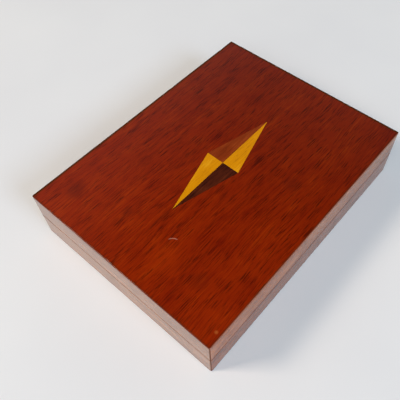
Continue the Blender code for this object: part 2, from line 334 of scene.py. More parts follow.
@dataclass(frozen=True)
class Wood:
    """A wood cut along the grain: ribbons, streaks and open pores, under a polish or only sanded."""

    name: str
    shade: str  # the dark of the ribbons
    ground: str
    light: str
    pore: str
    ribbon_mm: float = 10.0
    ribbon_length_mm: float = 85.0
    ribbon_weight: float = 0.18
    streak_mm: float = 1.4
    streak_length_mm: float = 26.0
    streak_weight: float = 0.26
    fleck_mm: Pair = (5.0, 0.40)  # along the grain and across it, as in the pairs below
    fleck_weight: float = 0.26
    mottle_mm: Pair = (9.0, 8.0)
    blotch: float = 0.20  # weight of the soft mottle
    spread: float = 0.11  # swing of the figure that takes it from the ground to its shade or light
    wander_mm: Pair = (55.0, 24.0)
    wander_reach_mm: float = 5.0
    log_slope: float = 0.37  # how far across the log a piece was cut, for each step along it
    pore_length_mm: float = 4.6
    pore_width_mm: float = 0.27  # real pores are 0.2 mm wide; drawn wide enough to show
    pore_cut: float = 0.56  # noise above this is a pore
    pore_edge: float = 0.09  # how much further it goes before the pore is full
    pore_depth: float = 0.48
    crowd_mm: Pair = (17.0, 3.0)
    crowding: float = 0.42
    contrast: float = 1.0
    polish: float = 1.0  # weight of the clear coat
    polish_roughness: float = 0.07
    body_roughness: float = 0.6
    body_gloss: float = 0.0  # under a clear coat the bare wood has none
    hair_mm: Pair = (9.0, 0.5)  # the raised fibres
    hair_height: float = 0.35  # against a pore's depth of 1
    hair_roughness: float = 0.2
    relief_mm: float = 0.02
    relief_strength: float = 0.5

    def place(self, tree: Tree, grain: Grain, offset_mm: float) -> Socket:
        """Where a point is in millimetres, with the grain along X and a slow wander across it.

        Args:
            tree: The material's tree.
            grain: Which way the piece's grain runs.
            offset_mm: How far along its log the piece was cut.

        Returns:
            The place as a vector.
        """
        turned = add_node(
            tree,
            "ShaderNodeMapping",
            {
                "Vector": add_node(tree, "ShaderNodeTexCoord").outputs["Object"],
                "Location": (offset_mm, offset_mm * self.log_slope, 0.0),
                "Rotation": (0.0, 0.0, grain.value),
                "Scale": (1 / MM, 1 / MM, 1 / MM),
            },
        ).outputs["Vector"]
        drift = swing(tree, grain_layer(tree, turned, *self.wander_mm, detail=1.0), self.wander_reach_mm)
        sideways = add_node(tree, "ShaderNodeCombineXYZ", {"Y": drift}).outputs["Vector"]
        moved = add_node(tree, "ShaderNodeVectorMath", {0: turned, 1: sideways}, operation="ADD")
        return moved.outputs["Vector"]

    def pores(self, tree: Tree, place: Socket) -> Socket:
        """The open pores as dashes, crowded in some bands and sparse in others.

        Args:
            tree: The material's tree.
            place: Where a point is in millimetres.

        Returns:
            1 in a pore and 0 between pores.
        """
        dashes = grain_layer(tree, place, self.pore_length_mm, self.pore_width_mm, detail=1.0, shift=3.1)
        crowd = grain_layer(tree, place, *self.crowd_mm, shift=7.7)
        level = combine(tree, "ADD", dashes, swing(tree, crowd, self.crowding))
        return remap(tree, level, (self.pore_cut, self.pore_cut + self.pore_edge))

    def figure(self, tree: Tree, place: Socket, pores: Socket) -> Socket:
        """The wood's colour, from its ribbons, streaks, flecks, mottle and pores.

        Args:
            tree: The material's tree.
            place: Where a point is in millimetres.
            pores: 1 in a pore.

        Returns:
            The colour.
        """
        streak = grain_layer(tree, place, self.streak_length_mm, self.streak_mm, detail=3.0, shift=1.3)
        layers = (
            (grain_layer(tree, place, self.ribbon_length_mm, self.ribbon_mm), self.ribbon_weight),
            (streak, self.streak_weight),
            (grain_layer(tree, place, *self.fleck_mm, shift=4.4), self.fleck_weight),
            (grain_layer(tree, place, *self.mottle_mm, shift=5.9), self.blotch),
        )
        level = MIDDLE
        for layer, weight in layers:
            level = combine(tree, "ADD", level, swing(tree, layer, weight))
        reach = self.spread / self.contrast
        evened = remap(tree, level, (MIDDLE - reach, MIDDLE))
        darker = tint(tree, evened, linear(self.shade), linear(self.ground))
        lit = tint(tree, remap(tree, level, (MIDDLE, MIDDLE + reach)), darker, linear(self.light))
        return tint(tree, combine(tree, "MULTIPLY", pores, self.pore_depth), lit, linear(self.pore))

    def marks(self, tree: Tree, colour: Socket) -> tuple[Socket, object]:
        """Marks of use over the figure. A plain wood has none.

        Args:
            tree: The material's tree.
            colour: The wood's colour.

        Returns:
            The colour with the marks, and how much of the clear coat is left.
        """
        return colour, self.polish

    def material(self, grain: Grain, offset_mm: float = 0.0) -> bpy.types.Material:
        """Build the material for one piece.

        Args:
            grain: Which way the piece's grain runs.
            offset_mm: How far along its log the piece was cut.

        Returns:
            The material.
        """
        material, tree = new_material(f"{self.name}_{grain.name.lower()}_{offset_mm:.0f}")
        place = self.place(tree, grain, offset_mm)
        pores = self.pores(tree, place)
        colour, coat = self.marks(tree, self.figure(tree, place, pores))
        hairs = grain_layer(tree, place, *self.hair_mm, shift=9.2)
        height = combine(tree, "SUBTRACT", combine(tree, "MULTIPLY", hairs, self.hair_height), pores)
        relief = add_node(
            tree,
            "ShaderNodeBump",
            {"Height": height, "Strength": self.relief_strength, "Distance": self.relief_mm * MM},
        )
        look = {
            "Base Color": colour,
            "Roughness": combine(tree, "ADD", self.body_roughness, swing(tree, hairs, self.hair_roughness)),
            "Normal": relief.outputs["Normal"],
            "IOR": LACQUER_IOR,
            "Specular IOR Level": self.body_gloss,
            "Coat Weight": coat,
            "Coat Roughness": self.polish_roughness,
            "Coat IOR": LACQUER_IOR,
        }
        close_surface(tree, look)
        return material


@dataclass(frozen=True)
class Stain:
    """A soft round patch of colour on the face, seen from above: the staining, the rubbed spot and the
    patches of painted light are all drawn with it.
    """

    centre_mm: Pair
    radius_mm: float
    strength: float
    shade: str
    core: float = 0.2  # share of the radius where it is full


@dataclass(frozen=True)
class EdgeWearAndShade:
    """A dark band along two neighbouring arrises of the face: worn polish with soiling, partly painted shade
    where the rounded arris reflects the dim room.
    """

    starts_mm: float  # in from the edge
    full_mm: float
    strength: float

    @property
    def band(self) -> Pair:
        """Where the dark band starts and is full, measured from the middle of the face towards an end."""
        return HALF_LENGTH_MM - self.starts_mm, HALF_LENGTH_MM - self.full_mm


@dataclass(frozen=True)
class FaceVeneer(Wood):
    """The figured veneer on the lid's face, with the small marks that years of handling left, and some
    painted light and shade.
    """

    aged: str = "#b9bb9e"  # multiplies the right end: a real loss of red, partly painted shade, as the light on the face falls off towards that end
    ageing: float = 0.6
    stains: tuple[Stain, ...] = (
        Stain((-46.5, 34.0), 6.0, 0.35, "#4a1408"),
        Stain((-40.0, 12.0), 3.0, 0.35, "#4a1408"),
        Stain((-44.0, -27.0), 5.0, 0.25, "#4a1408"),
        Stain((9.0, -27.0), 5.0, 0.30, "#4a1408"),
        # the two orange patches brighten the front left: a paler patch in the veneer, partly painted light
        # where the face is lit most
        Stain((-55.0, -38.0), 14.0, 0.12, "#b03604"),
        Stain((-45.0, -12.0), 10.0, 0.18, "#b83c04"),
    )
    rubbed_spot: Stain = Stain((-53.5, -43.0), 0.9, 0.5, "#b8642c", core=2 / 9)
    cut_centre_mm: Pair = (-34.375, 0.6)  # the knife line that runs on from the lozenge's left tip
    cut_squeeze: float = 0.08  # its width over its length
    cut_width_mm: Pair = (0.9, 0.2)
    cut_start_mm: Pair = (-28.0, -29.0)
    cut_strength: float = 0.35
    scratch_centre_mm: Pair = (-40.3, -10.9)
    scratch_radius_mm: float = 3.4
    scratch_width_mm: Pair = (0.28, 0.05)
    scratch_middle_mm: Pair = (2.7, 2.1)  # from its circle's centre to the middle of the crescent
    scratch_length_mm: Pair = (2.0, 1.0)
    scratch_strength: float = 0.6
    # pale, partly a painted glint where the dent of the scratch catches the light
    scratch_and_glint: str = "#c98a72"
    far_wear_and_shade: EdgeWearAndShade = EdgeWearAndShade(1.4, 0.6, 0.88)  # the right and back arrises
    near_wear_and_shade: EdgeWearAndShade = EdgeWearAndShade(0.8, 0.3, 0.45)  # the left and front ones
    grime_and_shade: str = "#462810"  # where polish has gone and soiling has stayed, partly painted shade of the rounded arris
    bare_and_highlight: str = "#a8705a"  # the front arris, handled down to unpolished wood, partly a painted highlight on its rounding
    bare_and_highlight_mm: float = 0.22
    bare_strength: float = 0.8

    def marks(self, tree: Tree, colour: Socket) -> tuple[Socket, object]:
        """Staining and paler patches, a knife cut off the lozenge's tip, a crescent scratch, a rubbed spot
        and worn arrises, mixed with painted light: shade at the right end and on the arrises, and light on
        the patches, the scratch and the front arris.

        Args:
            tree: The material's tree.
            colour: The wood's colour.

        Returns:
            The colour with the marks, and how much of the clear coat is left: none on the arrises.
        """
        reach = reach_mm(tree)
        x, y = reach["X"], reach["Y"]
        # partly painted shade: the face darkens towards its right end
        across = remap(tree, x, (-HALF_LENGTH_MM, HALF_LENGTH_MM))
        right_end_shade = combine(tree, "MULTIPLY", across, self.ageing)
        marked = tint(tree, right_end_shade, colour, linear(self.aged), "MULTIPLY")
        for patch in self.stains:
            marked = self.tinted(tree, reach, patch, marked)
        cut = combine(tree, "MULTIPLY", self.knife_cut(tree, x, y), self.cut_strength)
        marked = tint(tree, cut, marked, linear(self.pore))
        scratch = combine(tree, "MULTIPLY", self.scratch(tree, x, y), self.scratch_strength)
        marked = tint(tree, scratch, marked, linear(self.scratch_and_glint))
        marked = self.tinted(tree, reach, self.rubbed_spot, marked)
        # the arrises: worn polish with soiling, partly painted shade
        shade_and_dark_lines = self.edge_grime_and_shade(tree, x, y)
        marked = tint(tree, shade_and_dark_lines, marked, linear(self.grime_and_shade))
        # the front arris: paler, partly a painted highlight on its rounding
        toward_front = combine(tree, "MULTIPLY", y, -1.0)
        front = remap(tree, toward_front, (HALF_WIDTH_MM - self.bare_and_highlight_mm, HALF_WIDTH_MM))
        paled = tint(tree, combine(tree, "MULTIPLY", front, self.bare_strength), marked, linear(self.bare_and_highlight))
        worn = combine(tree, "MAXIMUM", shade_and_dark_lines, front)
        return paled, combine(tree, "MULTIPLY", combine(tree, "SUBTRACT", 1.0, worn), self.polish)

    def tinted(self, tree: Tree, reach: dict[str, Socket], patch: Stain, colour: Socket) -> Socket:
        """Lay one patch over the colour.

        Args:
            tree: The material's tree.
            reach: The point's place along each axis, in millimetres.
            patch: The patch.
            colour: The colour under it.

        Returns:
            The colour with the patch laid over it.
        """
        off = self.distance(tree, reach["X"], reach["Y"], patch.centre_mm)
        coverage = remap(tree, off, (patch.radius_mm, patch.radius_mm * patch.core))
        return tint(tree, combine(tree, "MULTIPLY", coverage, patch.strength), colour, linear(patch.shade))

    def edge_grime_and_shade(self, tree: Tree, x: Socket, y: Socket) -> Socket:
        """The dark along the arrises, heavier on the far two than on the near two: worn polish with soiling,
        partly painted shade.

        Args:
            tree: The material's tree.
            x: A point's place along the box, in millimetres.
            y: Its place across the box, in millimetres.

        Returns:
            From 0 to the stronger wear's strength.
        """
        step = HALF_LENGTH_MM - HALF_WIDTH_MM  # takes a long side's edge as far out as an end's
        far = combine(tree, "MAXIMUM", x, combine(tree, "ADD", y, step))
        near = combine(tree, "MINIMUM", x, combine(tree, "SUBTRACT", y, step))
        sides = ((far, self.far_wear_and_shade), (combine(tree, "MULTIPLY", near, -1.0), self.near_wear_and_shade))
        arris_darkening = [combine(tree, "MULTIPLY", remap(tree, out, wear.band), wear.strength) for out, wear in sides]
        return combine(tree, "MAXIMUM", *arris_darkening)

    def distance(self, tree: Tree, x: Socket, y: Socket, centre: Pair) -> Socket:
        """How far a point of the face is from a centre.

        Args:
            tree: The material's tree.
            x: The point's place along the box, in millimetres.
            y: The point's place across the box, in millimetres.
            centre: The centre, in the same millimetres.

        Returns:
            The distance in millimetres.
        """
        plan = add_node(tree, "ShaderNodeCombineXYZ", {"X": x, "Y": y}).outputs["Vector"]
        gap = add_node(tree, "ShaderNodeVectorMath", {0: plan, 1: (*centre, 0.0)}, operation="DISTANCE")
        return gap.outputs["Value"]

    def knife_cut(self, tree: Tree, x: Socket, y: Socket) -> Socket:
        """A thin line along the grain, which starts at the lozenge's left tip.

        Args:
            tree: The material's tree.
            x: A point's place along the box, in millimetres.
            y: Its place across the box, in millimetres.

        Returns:
            1 on the cut.
        """
        squeezed = combine(tree, "MULTIPLY", x, self.cut_squeeze)
        centre = (self.cut_centre_mm[0] * self.cut_squeeze, self.cut_centre_mm[1])
        line = remap(tree, self.distance(tree, squeezed, y, centre), self.cut_width_mm)
        return combine(tree, "MULTIPLY", line, remap(tree, x, self.cut_start_mm))

    def scratch(self, tree: Tree, x: Socket, y: Socket) -> Socket:
        """A hair-thin crescent: the part of a circle that lies on its far side.

        Args:
            tree: The material's tree.
            x: A point's place along the box, in millimetres.
            y: Its place across the box, in millimetres.

        Returns:
            1 on the scratch.
        """
        out = self.distance(tree, x, y, self.scratch_centre_mm)
        off = combine(tree, "ABSOLUTE", combine(tree, "SUBTRACT", out, self.scratch_radius_mm), 0.0)
        line = remap(tree, off, self.scratch_width_mm)
        middle = tuple(sum(parts) for parts in zip(self.scratch_centre_mm, self.scratch_middle_mm))
        near = remap(tree, self.distance(tree, x, y, middle), self.scratch_length_mm)
        return combine(tree, "MULTIPLY", line, near)


@dataclass(frozen=True)
class BoardWood(Wood):
    """The wood of the walls: painted shade in the seam's gap and round the foot, a dark line down each mitre,
    and painted cool shade towards the right end.
    """

    seam_band_mm: Pair = (0.42, 0.22)  # to either side of the seam's middle
    foot_band_mm: Pair = (1.3, 0.6)
    mitre_band_mm: Pair = (0.45, 0.2)  # in from each face of the corner
    grime: float = 0.75
    foot_contact_shade: float = 0.6
    rim_mm: Pair = (23.8, 24.8)  # heights of the band under the lid's face
    rim_wear: float = 0.6  # share of the polish that hands have taken off that band
    right_end_cool_shade: str = "#e2efff"  # painted cool shade: multiplies the long walls towards the right end, where they stand in the cool shadow and reflect it

    def marks(self, tree: Tree, colour: Socket) -> tuple[Socket, object]:
        """Painted shade along the seam's gap and round the foot, a dark line down each mitre, and painted
        cool shade towards the right end.

        Args:
            tree: The material's tree.
            colour: The wood's colour.

        Returns:
            The colour with the marks, and how much of the clear coat is left.
        """
        reach = reach_mm(tree)
        across = remap(tree, reach["X"], (-HALF_LENGTH_MM, HALF_LENGTH_MM))
        # painted cool shade towards the right end
        right_end_shade = tint(tree, across, colour, linear(self.right_end_cool_shade), "MULTIPLY")
        # painted shade: the seam's gap and the foot, where the box stands on the table, are darkened in the
        # colour
        off_seam = combine(tree, "ABSOLUTE", combine(tree, "SUBTRACT", reach["Z"], SEAM_MM), 0.0)
        seam = remap(tree, off_seam, self.seam_band_mm)
        starts, full = self.mitre_band_mm
        near_edges = [
            remap(tree, combine(tree, "ABSOLUTE", reach[axis], 0.0), (half - starts, half - full))
            for axis, half in (("X", HALF_LENGTH_MM), ("Y", HALF_WIDTH_MM))
        ]
        mitres = combine(tree, "MINIMUM", *near_edges)
        foot = combine(tree, "MULTIPLY", remap(tree, reach["Z"], self.foot_band_mm), self.foot_contact_shade)
        shade_and_dark_lines = combine(tree, "MAXIMUM", combine(tree, "MAXIMUM", seam, foot), mitres)
        shade_and_joints = combine(tree, "MULTIPLY", shade_and_dark_lines, self.grime)
        darkened = tint(tree, shade_and_joints, right_end_shade, linear(self.pore))
        rubbed = combine(tree, "MULTIPLY", remap(tree, reach["Z"], self.rim_mm), self.rim_wear)
        # the coat left outside the shaded seam, the foot, the mitres and the rubbed rim
        clean = combine(tree, "SUBTRACT", 1.0, combine(tree, "MAXIMUM", shade_and_joints, rubbed))
        return darkened, combine(tree, "MULTIPLY", clean, self.polish)


@dataclass(frozen=True)
class Baize:
    """Napped wool baize: matt and soft, with a faint bloom where the fibres catch the light."""

    name: str = "napped_wool_baize"
    dark: str = "#14381d"
    light: str = "#2f683a"
    tuft_mm: float = 1.6
    fibre_mm: float = 0.35
    shade_band: Pair = (0.38, 0.62)  # of the level, from the dark to the light
    relief_mm: float = 0.15
    relief_strength: float = 0.6
    roughness: float = 0.95
    sheen: float = 0.35
    sheen_roughness: float = 0.5

    def material(self) -> bpy.types.Material:
        """Build the material.

        Returns:
            The material.
        """
        material, tree = new_material(self.name)
        coords = add_node(tree, "ShaderNodeTexCoord").outputs["Object"]
        halves = []
        for size_mm, detail in ((self.tuft_mm, 3.0), (self.fibre_mm, 2.0)):
            marks = {"Vector": coords, "Scale": 1 / (size_mm * MM), "Detail": detail}
            layer = add_node(tree, "ShaderNodeTexNoise", marks).outputs["Fac"]
            halves.append(combine(tree, "MULTIPLY", layer, 0.5))
        level = combine(tree, "ADD", *halves)
        relief = add_node(
            tree,
            "ShaderNodeBump",
            {"Height": level, "Strength": self.relief_strength, "Distance": self.relief_mm * MM},
        )
        lit = remap(tree, level, self.shade_band)
        look = {
            "Base Color": tint(tree, lit, linear(self.dark), linear(self.light)),
            "Roughness": self.roughness,
            "Normal": relief.outputs["Normal"],
            "Sheen Weight": self.sheen,
            "Sheen Roughness": self.sheen_roughness,
        }
        close_surface(tree, look)
        return material


@dataclass(frozen=True)
class TurnedMetal:
    """Metal turned on a lathe about the box's X: fine rings from the tool, and a little tarnish."""

    name: str
    clean: str
    tarnish: str
    roughness: float
    ring_mm: float = 0.18  # a real feed mark is about 0.05 mm; drawn wider so that it shows
    ring_stretch: float = 0.08  # the rings' noise across the lathe's line, against along it
    ring_roughness: float = 0.16
    relief_mm: float = 0.02
    relief_strength: float = 0.35
    cloud_mm: float = 2.2
    cloud_band: Pair = (0.45, 0.75)
    tarnish_strength: float = 0.7
    tarnish_roughness: float = 0.2

    def material(self) -> bpy.types.Material:
        """Build the material.

        Returns:
            The material.
        """
        material, tree = new_material(self.name)
        coords = add_node(tree, "ShaderNodeTexCoord").outputs["Object"]
        fine = 1 / (self.ring_mm * MM)
        stretch = (fine, fine * self.ring_stretch, fine * self.ring_stretch)
        drawn = add_node(tree, "ShaderNodeMapping", {"Vector": coords, "Scale": stretch}).outputs["Vector"]
        feed = {"Vector": drawn, "Scale": 1.0, "Detail": 2.0}
        rings = add_node(tree, "ShaderNodeTexNoise", feed).outputs["Fac"]
        soft = {"Vector": coords, "Scale": 1 / (self.cloud_mm * MM), "Detail": 4.0}
        clouds = add_node(tree, "ShaderNodeTexNoise", soft).outputs["Fac"]
        tinted = combine(tree, "MULTIPLY", remap(tree, clouds, self.cloud_band), self.tarnish_strength)
        dulled = combine(tree, "MULTIPLY", tinted, self.tarnish_roughness)
        roughness = combine(
            tree,
            "ADD",
            combine(tree, "MULTIPLY", rings, self.ring_roughness),
            combine(tree, "ADD", self.roughness - self.ring_roughness * MIDDLE, dulled),
        )
        relief = add_node(
            tree,
            "ShaderNodeBump",
            {"Height": rings, "Strength": self.relief_strength, "Distance": self.relief_mm * MM},
        )
        look = {
            "Base Color": tint(tree, tinted, linear(self.clean), linear(self.tarnish)),
            "Metallic": 1.0,
            "Roughness": roughness,
            "Normal": relief.outputs["Normal"],
        }
        close_surface(tree, look)
        return material


# Polished sapele mahogany, flat-sawn: paler and drier than the face, with open pores.
MAHOGANY = BoardWood(
    name="polished_mahogany_long_grain",
    shade="#98552e",
    ground="#b1683f",
    light="#c47b51",
    pore="#6c2e18",
    streak_mm=0.8,
    pore_depth=0.7,
    contrast=1.3,
    polish=0.72,
    polish_roughness=0.12,
)
# The long boards of the base: the same wood, darker than the lid's.
MAHOGANY_DULL = replace(
    MAHOGANY,
    name="polished_mahogany_dull_board",
    shade="#7f462e",
    ground="#985b41",
    light="#ac6d53",
    pore="#56261b",
)
# The end boards: the glossiest of them, and browner.
MAHOGANY_END = replace(
    MAHOGANY,
    name="polished_mahogany_end_board",
    shade="#7b4929",
    ground="#95613d",
    light="#ae7852",
    pore="#5a2b17",
    polish=1.0,
    right_end_cool_shade="#ffffff",
)
# The same wood knife-cut as a veneer for the face: redder, with long dark pore dashes.
FACE = FaceVeneer(
    name="french_polished_mahogany_veneer",
    shade="#701604",
    ground="#8a2304",
    light="#9e3205",
    pore="#360c04",
    streak_mm=0.55,
    streak_length_mm=48.0,
    fleck_mm=(7.0, 0.30),
    blotch=0.17,
    pore_width_mm=0.26,
    pore_length_mm=7.0,
    pore_depth=0.7,
    contrast=0.9,
)
# Polished satinwood: pale gold, close-grained, so it stays even and bright.
SATINWOOD = Wood(
    name="french_polished_satinwood",
    shade="#c27a06",
    ground="#da8d05",
    light="#eaa31a",
    pore="#96590a",
    ribbon_mm=4.0,
    streak_mm=0.9,
    pore_length_mm=3.0,
    pore_cut=0.66,
    pore_depth=0.5,
    contrast=0.8,
)
# Polished wenge: near black-brown with fine brown lines.
WENGE = Wood(
    name="french_polished_wenge",
    shade="#35120a",
    ground="#4b1c0d",
    light="#622a14",
    pore="#1e0905",
    ribbon_mm=2.2,
    streak_mm=0.6,
    pore_cut=0.58,
)
# Polished brown oak: a warm mid brown only a little lighter than the ground round it.
BROWN_OAK = Wood(
    name="french_polished_brown_oak",
    shade="#742808",
    ground="#86330e",
    light="#984116",
    pore="#521d08",
    ribbon_mm=3.5,
    streak_mm=0.9,
    pore_cut=0.63,
)
# Sanded cedar, left bare: pinkish brown, matt, with soft growth lines.
CEDAR = Wood(
    name="sanded_cedar",
    shade="#8f5a3a",
    ground="#ab7350",
    light="#c08a63",
    pore="#6e4229",
    ribbon_mm=3.0,
    streak_mm=0.7,
    pore_cut=0.68,
    pore_depth=0.5,
    polish=0.0,
    body_roughness=0.58,
    body_gloss=0.35,
)
# Sanded birch plywood: pale and even, with short fine flecks.
BIRCH = Wood(
    name="sanded_birch_plywood",
    shade="#b8966c",
    ground="#ccae84",
    light="#dcc39c",
    pore="#a07c54",
    ribbon_mm=14.0,
    streak_mm=2.0,
    pore_length_mm=2.0,
    pore_cut=0.68,
    pore_depth=0.4,
    polish=0.0,
    body_roughness=0.6,
    body_gloss=0.3,
)
BAIZE = Baize()
# Free-cutting brass as it leaves the lathe, dulled a little by air.
BRASS = TurnedMetal(name="turned_brass", clean="#d8b163", tarnish="#8a6a32", roughness=0.26)
# Bright mild steel, turned and wiped with oil.
STEEL = TurnedMetal(name="turned_bright_steel", clean="#c8cacc", tarnish="#7d7b78", roughness=0.22)


# ---------------------------------------------------------------------------------------------
# Meshes


def skin_loops(mesh_data: bmesh.types.BMesh, loops: list[list[Vector]], ring: bool = False) -> None:
    """Bridge rings of points one after another, and cap the ends unless the last meets the first.

    Args:
        mesh_data: The mesh that the skin goes in.
        loops: Rings of equally many points.
        ring: Whether the last ring is bridged to the first.
    """
    rings = [[mesh_data.verts.new(point) for point in loop] for loop in loops]
    pairs = list(zip(rings, rings[1:]))
    if ring:
        pairs.append((rings[-1], rings[0]))
    for lower, upper in pairs:
        count = len(lower)
        for i in range(count):
            j = (i + 1) % count
            mesh_data.faces.new((lower[i], lower[j], upper[j], upper[i]))
    if not ring:
        mesh_data.faces.new(rings[0])
        mesh_data.faces.new(rings[-1])


def make_object(name: str, mesh_data: bmesh.types.BMesh, sharp_deg: float = 32.0) -> bpy.types.Object:
    """Turn a bmesh into an object with outward normals, smooth but for its sharp edges.

    Args:
        name: The object's name.
        mesh_data: The mesh, which is freed.
        sharp_deg: The least angle of an edge that stays sharp.

    Returns:
        The object, at the origin.
    """
    bmesh.ops.recalc_face_normals(mesh_data, faces=mesh_data.faces)
    mesh = bpy.data.meshes.new(name)
    mesh_data.to_mesh(mesh)
    mesh_data.free()
    mesh.shade_smooth()
    mesh.set_sharp_from_angle(angle=math.radians(sharp_deg))
    obj = bpy.data.objects.new(name, mesh)
    bpy.context.scene.collection.objects.link(obj)
    return obj


def settle(obj: bpy.types.Object) -> None:
    """Replace an object's mesh by what its modifiers make, and remove them.

    Args:
        obj: The object.
    """
    graph = bpy.context.evaluated_depsgraph_get()
    made = bpy.data.meshes.new_from_object(obj.evaluated_get(graph))
    obj.modifiers.clear()
    obj.data = made


def cut_with(obj: bpy.types.Object, mesh_data: bmesh.types.BMesh, sharp_deg: float = 32.0) -> None:
    """Cut a shape out of a piece and remove the cutter.

    Args:
        obj: The piece.
        mesh_data: The shape to cut away.
        sharp_deg: The least angle of an edge that stays sharp afterwards.
    """
    cutter = make_object("cutter", mesh_data)
    boolean = obj.modifiers.new("cut", "BOOLEAN")
    boolean.operation = "DIFFERENCE"
    boolean.solver = "EXACT"
    boolean.object = cutter
    settle(obj)
    bpy.data.objects.remove(cutter, do_unlink=True)
    obj.data.shade_smooth()
    obj.data.set_sharp_from_angle(angle=math.radians(sharp_deg))


def arris(ease: float, corner: Pair, into: tuple[int, int], steps: int = 4) -> Section:
    """The points of one rounded arris of a section, from its upright face to its level one.

    Args:
        ease: The rounding's radius.
        corner: The corner that is rounded, as depth and level.
        into: Which way the wood lies from the corner, in depth and in level.
        steps: How many chords the rounding has.

    Returns:
        The points, as depth and level.
    """
    points = []
    for step in range(steps + 1):
        turn = math.radians(90 * step / steps)
        depth = corner[0] + into[0] * ease * (1 - math.cos(turn))
        level = corner[1] + into[1] * ease * (1 - math.sin(turn))
        points.append((depth, level))
    return points


def flank(section: Section, width: float = 0.35 * MM) -> Section:
    """Add a point a little way along each long side of a section, which keeps its faces' shading flat.

    Args:
        section: The section's points, closed on itself.
        width: How far the added points are from the corners.

    Returns:
        The section with the added points.
    """
    points: Section = []
    for (depth, level), (next_depth, next_level) in zip(section, section[1:] + section[:1]):
        points.append((depth, level))
        run = math.hypot(next_depth - depth, next_level - level)
        if run > 4 * width:
            for share in (width / run, 1 - width / run):
                ahead, rise = (next_depth - depth) * share, (next_level - level) * share
                points.append((depth + ahead, level + rise))
    return points


def corners_of(node: str) -> tuple[Vector, Vector]:
    """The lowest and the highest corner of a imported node."""
    low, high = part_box(node)
    return Vector(low), Vector(high)


def dress(piece: bpy.types.Object, material: bpy.types.Material) -> None:
    """Give a piece its finish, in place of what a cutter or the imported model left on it."""
    piece.data.materials.clear()
    piece.data.materials.append(material)


def seat(
    piece: bpy.types.Object, material: bpy.types.Material, body: str, slot: str, *nodes: str
) -> bpy.types.Object:
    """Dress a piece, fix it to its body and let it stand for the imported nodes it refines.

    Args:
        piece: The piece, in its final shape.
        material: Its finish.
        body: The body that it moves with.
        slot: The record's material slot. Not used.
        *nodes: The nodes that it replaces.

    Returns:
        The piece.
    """
    dress(piece, material)
    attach(piece, body)
    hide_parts(*nodes)
    LOG.info("%s: %d faces on %s", piece.name, len(piece.data.polygons), body)
    return piece


@dataclass(frozen=True)
class Plan:
    """A rounded rectangle seen from above, with its points spaced for fine surface work."""

    half_length: float
    half_width: float
    radius: float
    spacing: float = 2.0 * MM
    corner_steps: int = 8
    least_radius: float = 0.04 * MM

    def loop(self, inset: float, level: float) -> list[Vector]:
        """The outline moved inwards, with the same number of points at every inset.

        Args:
            inset: How far inwards.
            level: The height.

        Returns:
            The points, anticlockwise.
        """
        half_x = self.half_length - inset
        half_y = self.half_width - inset
        radius = max(self.radius - inset, self.least_radius)
        runs = (self.half_length, self.half_width, self.half_length, self.half_width)
        signs = ((1, 1), (-1, 1), (-1, -1), (1, -1))
        points = []
        for quarter, (sign_x, sign_y) in enumerate(signs):
            centre = Vector((sign_x * (half_x - radius), sign_y * (half_y - radius), level))
            for step in range(self.corner_steps + 1):
                angle = math.radians(90 * (quarter + step / self.corner_steps))
                points.append(centre + radius * Vector((math.cos(angle), math.sin(angle), 0.0)))
            next_x, next_y = signs[(quarter + 1) % 4]
            turn = math.radians(90 * (quarter + 1))
            ahead = Vector((next_x * (half_x - radius), next_y * (half_y - radius), level))
            goal = ahead + radius * Vector((math.cos(turn), math.sin(turn), 0.0))
            start = points[-1]
            count = round(2 * runs[quarter] / self.spacing)
            points += [start.lerp(goal, k / count) for k in range(1, count)]
        return points


@dataclass
class MitredFrame:
    """Four boards that share one section, sawn and mitred from one length of moulding."""

    plan: Plan
    section: Section  # depth in from the outer face, and level
    kerf: float = GLUE_LINE

    def board(self, side: Side, name: str) -> bpy.types.Object:
        """Saw out the board on one side.

        Args:
            side: Which side.
            name: The board's name.

        Returns:
            The board, closed at its mitres.
        """
        mesh_data = bmesh.new()
        skin_loops(mesh_data, [self.plan.loop(depth, level) for depth, level in self.section], ring=True)
        reach = abs(side.outward.x) * self.plan.half_length + abs(side.outward.y) * self.plan.half_width
        half = abs(side.along.x) * self.plan.half_length + abs(side.along.y) * self.plan.half_width
        for end in (-1, 1):
            corner = side.outward * reach + side.along * end * half
            away = (side.along * end - side.outward).normalized()
            bmesh.ops.bisect_plane(
                mesh_data,
                geom=mesh_data.verts[:] + mesh_data.edges[:] + mesh_data.faces[:],
                plane_co=corner - away * self.kerf / 2,
                plane_no=away,
                clear_outer=True,
            )
        rims = [edge for edge in mesh_data.edges if edge.is_boundary]
        bmesh.ops.holes_fill(mesh_data, edges=rims, sides=0)
        return make_object(name, mesh_data)


def slab(
    plan: Plan,
    bottom: float,
    top: float,
    ease_top: float = 0.0,
    ease_bottom: float = 0.0,
    edge: float = 0.5 * MM,
) -> bmesh.types.BMesh:
    """A board with rounded corners, eased arrises and a flat ring inside each eased edge.

    Args:
        plan: The board's outline.
        bottom: The level of its underside.
        top: The level of its face.
        ease_top: The radius of the arris round the face.
        ease_bottom: The radius of the arris round the underside.
        edge: How far in the flat ring is, which keeps the face's shading flat.

    Returns:
        The board.
    """
    upright = 0.1 * MM
    levels: Section = [(edge + ease_bottom, bottom)]
    levels += arris(ease_bottom, (0.0, bottom), (1, 1))[::-1] if ease_bottom else [(0.0, bottom)]
    levels += [(0.0, bottom + ease_bottom + upright), (0.0, top - ease_top - upright)]
    levels += arris(ease_top, (0.0, top), (1, -1)) if ease_top else [(0.0, top)]
    levels.append((edge + ease_top, top))
    mesh_data = bmesh.new()
    skin_loops(mesh_data, [plan.loop(inset, level) for inset, level in levels])
    return mesh_data


